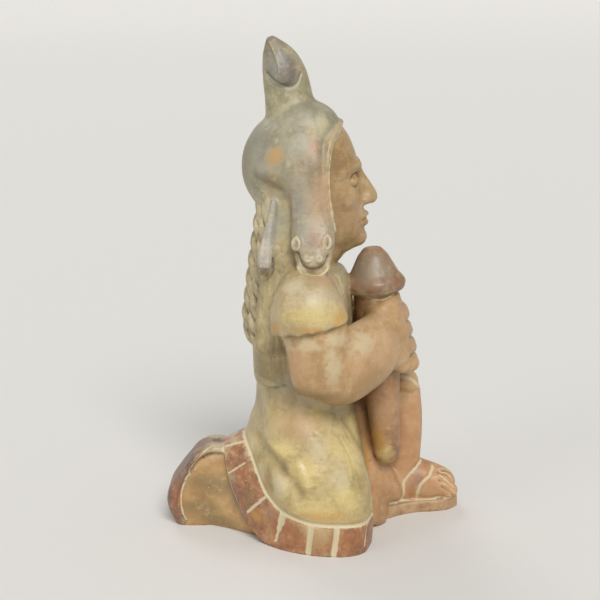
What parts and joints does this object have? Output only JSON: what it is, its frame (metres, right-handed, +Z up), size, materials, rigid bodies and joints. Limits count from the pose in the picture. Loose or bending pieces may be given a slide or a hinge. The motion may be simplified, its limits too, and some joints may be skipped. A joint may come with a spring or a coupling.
{
  "type": "ceramic priest figurine",
  "caption": "Half-kneeling priest in painted terracotta with a tall tufted cap, twisted locks and a mace held upright before the chest.",
  "frame": {"origin": "centre of the bounding box, on the surface the figure stands on", "axes": "+Z up, the figure faces -Y, its right side is at -X"},
  "size_m": [0.0858, 0.1248, 0.2],
  "materials": {
    "painted_terracotta": "burnished slip, part worn, orange, cream and purple-brown"
  },
  "bodies": {
    "root": {"priest_figurine": "painted_terracotta"}
  },
  "joints": []
}
